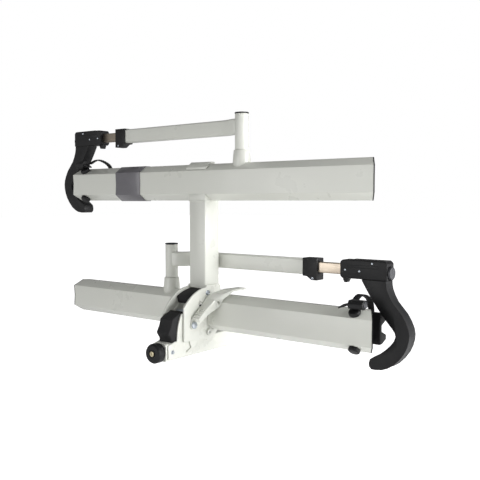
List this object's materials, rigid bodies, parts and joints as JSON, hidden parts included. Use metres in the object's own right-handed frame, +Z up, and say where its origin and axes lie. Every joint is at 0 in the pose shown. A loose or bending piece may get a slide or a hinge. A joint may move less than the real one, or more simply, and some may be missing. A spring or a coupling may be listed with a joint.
{
  "type": "hitch bike rack",
  "caption": "Folding hitch rack for bikes: hollow octagonal beams on a tilting mast, telescoping swing arms with wheel hooks, hitch shank with locking knob.",
  "frame": {"origin": "underside of the hitch shank, below its pin hole", "axes": "+Z up, +X along the beams, +Y along the shank towards the vehicle"},
  "size_m": [1.3314, 0.6453, 0.7186],
  "materials": {
    "white_paint": "powder coat, satin",
    "zinc": "bright zinc plate",
    "steel": "plain steel",
    "brass": "turned",
    "aluminium": "drawn, lightly brushed",
    "grey_sleeve": "satin grey",
    "rubber": "matt",
    "button_grey": "fine grain",
    "black_plastic": "fine moulded grain"
  },
  "bodies": {
    "base": {"hitch_shank": "white_paint", "shank_end_plug": "white_paint", "sector_plate_left": "white_paint", "sector_plate_right": "white_paint", "sector_cover": "rubber", "front_boot": "rubber", "stop_bar": "zinc", "pivot_bolt": "white_paint"},
    "knob": {"hitch_knob": "black_plastic", "drive_rod": "steel"},
    "key": {"key_cylinder": "brass"},
    "wedge": {"wedge_block": "steel"},
    "mast": {"mast_tube": "white_paint", "fork_plate_left": "white_paint", "fork_plate_right": "white_paint", "upper_beam": "white_paint", "lower_beam_left": "white_paint", "lower_beam_right": "white_paint", "upper_cap_left": "black_plastic", "upper_cap_right": "black_plastic", "lower_cap_left": "black_plastic", "lower_cap_right": "black_plastic", "beam_band": "grey_sleeve", "beam_saddle": "white_paint", "lever_bolt": "zinc", "lower_post_cup": "white_paint", "lower_cradle": "black_plastic", "lower_strap_boss_top": "black_plastic", "lower_strap_boss_bottom": "black_plastic", "lower_buckle": "black_plastic", "lower_wheel_strap": "rubber", "upper_post_cup": "white_paint", "upper_cradle": "black_plastic", "upper_strap_boss_top": "black_plastic", "upper_strap_boss_bottom": "black_plastic", "upper_buckle": "black_plastic", "upper_wheel_strap": "rubber"},
    "lever": {"release_lever": "white_paint", "lever_cheek": "white_paint", "latch_pin": "zinc"},
    "lower_arm": {"lower_post_tube": "white_paint", "lower_post_cap": "black_plastic", "lower_arm_tube": "white_paint", "lower_arm_collar": "black_plastic"},
    "lower_bar": {"lower_slide_bar": "aluminium", "lower_hook_head": "black_plastic", "lower_hook": "black_plastic"},
    "lower_button": {"lower_hook_button": "button_grey"},
    "lower_trigger": {"lower_head_trigger": "black_plastic"},
    "lower_buckle_lever": {"lower_buckle_lever": "black_plastic"},
    "upper_arm": {"upper_post_tube": "white_paint", "upper_post_cap": "black_plastic", "upper_arm_tube": "white_paint", "upper_arm_collar": "black_plastic"},
    "upper_bar": {"upper_slide_bar": "aluminium", "upper_hook_head": "black_plastic", "upper_hook": "black_plastic"},
    "upper_button": {"upper_hook_button": "button_grey"},
    "upper_trigger": {"upper_head_trigger": "black_plastic"},
    "upper_buckle_lever": {"upper_buckle_lever": "black_plastic"}
  },
  "joints": [
    {"name": "mast_fold", "type": "hinge", "parent": "base", "child": "mast", "pos_m": [0, -0.382, 0.063], "axis": [1, 0, 0], "range_deg": [0, 90], "deforming": ["front_boot"]},
    {"name": "lever_pull", "type": "hinge", "parent": "mast", "child": "lever", "pos_m": [0.0378, -0.454, 0.094], "axis": [1, 0, 0], "range_deg": [0, 12], "stiffness_Nm_per_rad": 3, "springref_deg": -17.19},
    {"name": "knob_turn", "type": "hinge", "parent": "base", "child": "knob", "pos_m": [0, -0.5543, 0.0254], "axis": [0, 1, 0], "range_deg": [0, 1080]},
    {"name": "key_turn", "type": "hinge", "parent": "knob", "child": "key", "pos_m": [0, -0.5843, 0.0254], "axis": [0, 1, 0], "range_deg": [0, 90]},
    {"name": "wedge_slide", "type": "slide", "parent": "base", "child": "wedge", "axis": [0, -1, 0], "range_m": [0, 0.005]},
    {"name": "lower_arm_swing", "type": "hinge", "parent": "mast", "child": "lower_arm", "pos_m": [-0.142, -0.353, 0.178], "axis": [0, 0, 1], "range_deg": [0, 180]},
    {"name": "lower_bar_slide", "type": "slide", "parent": "lower_arm", "child": "lower_bar", "axis": [1, 0, 0], "range_m": [0, 0.2]},
    {"name": "lower_button_press", "type": "slide", "parent": "lower_bar", "child": "lower_button", "axis": [-1, 0, 0], "range_m": [0, 0.004], "stiffness_N_per_m": 400, "springref_m": -0.003},
    {"name": "lower_trigger_press", "type": "slide", "parent": "lower_bar", "child": "lower_trigger", "axis": [0, 0, 1], "range_m": [0, 0.004], "stiffness_N_per_m": 400, "springref_m": -0.003},
    {"name": "lower_buckle_lift", "type": "hinge", "parent": "mast", "child": "lower_buckle_lever", "pos_m": [0.515, -0.39, 0.1928], "axis": [0, 1, 0], "range_deg": [0, 60]},
    {"name": "upper_arm_swing", "type": "hinge", "parent": "mast", "child": "upper_arm", "pos_m": [0.142, -0.353, 0.569], "axis": [0, 0, -1], "range_deg": [0, 180]},
    {"name": "upper_bar_slide", "type": "slide", "parent": "upper_arm", "child": "upper_bar", "axis": [-1, 0, 0], "range_m": [0, 0.2]},
    {"name": "upper_button_press", "type": "slide", "parent": "upper_bar", "child": "upper_button", "axis": [1, 0, 0], "range_m": [0, 0.004], "stiffness_N_per_m": 400, "springref_m": -0.003},
    {"name": "upper_trigger_press", "type": "slide", "parent": "upper_bar", "child": "upper_trigger", "axis": [0, 0, 1], "range_m": [0, 0.004], "stiffness_N_per_m": 400, "springref_m": -0.003},
    {"name": "upper_buckle_lift", "type": "hinge", "parent": "mast", "child": "upper_buckle_lever", "pos_m": [-0.515, -0.39, 0.5838], "axis": [0, -1, 0], "range_deg": [0, 60]}
  ],
  "couplings": [
    {"joint": "knob_turn", "follows": "wedge_slide", "rad_per_m": 3769.9}
  ]
}
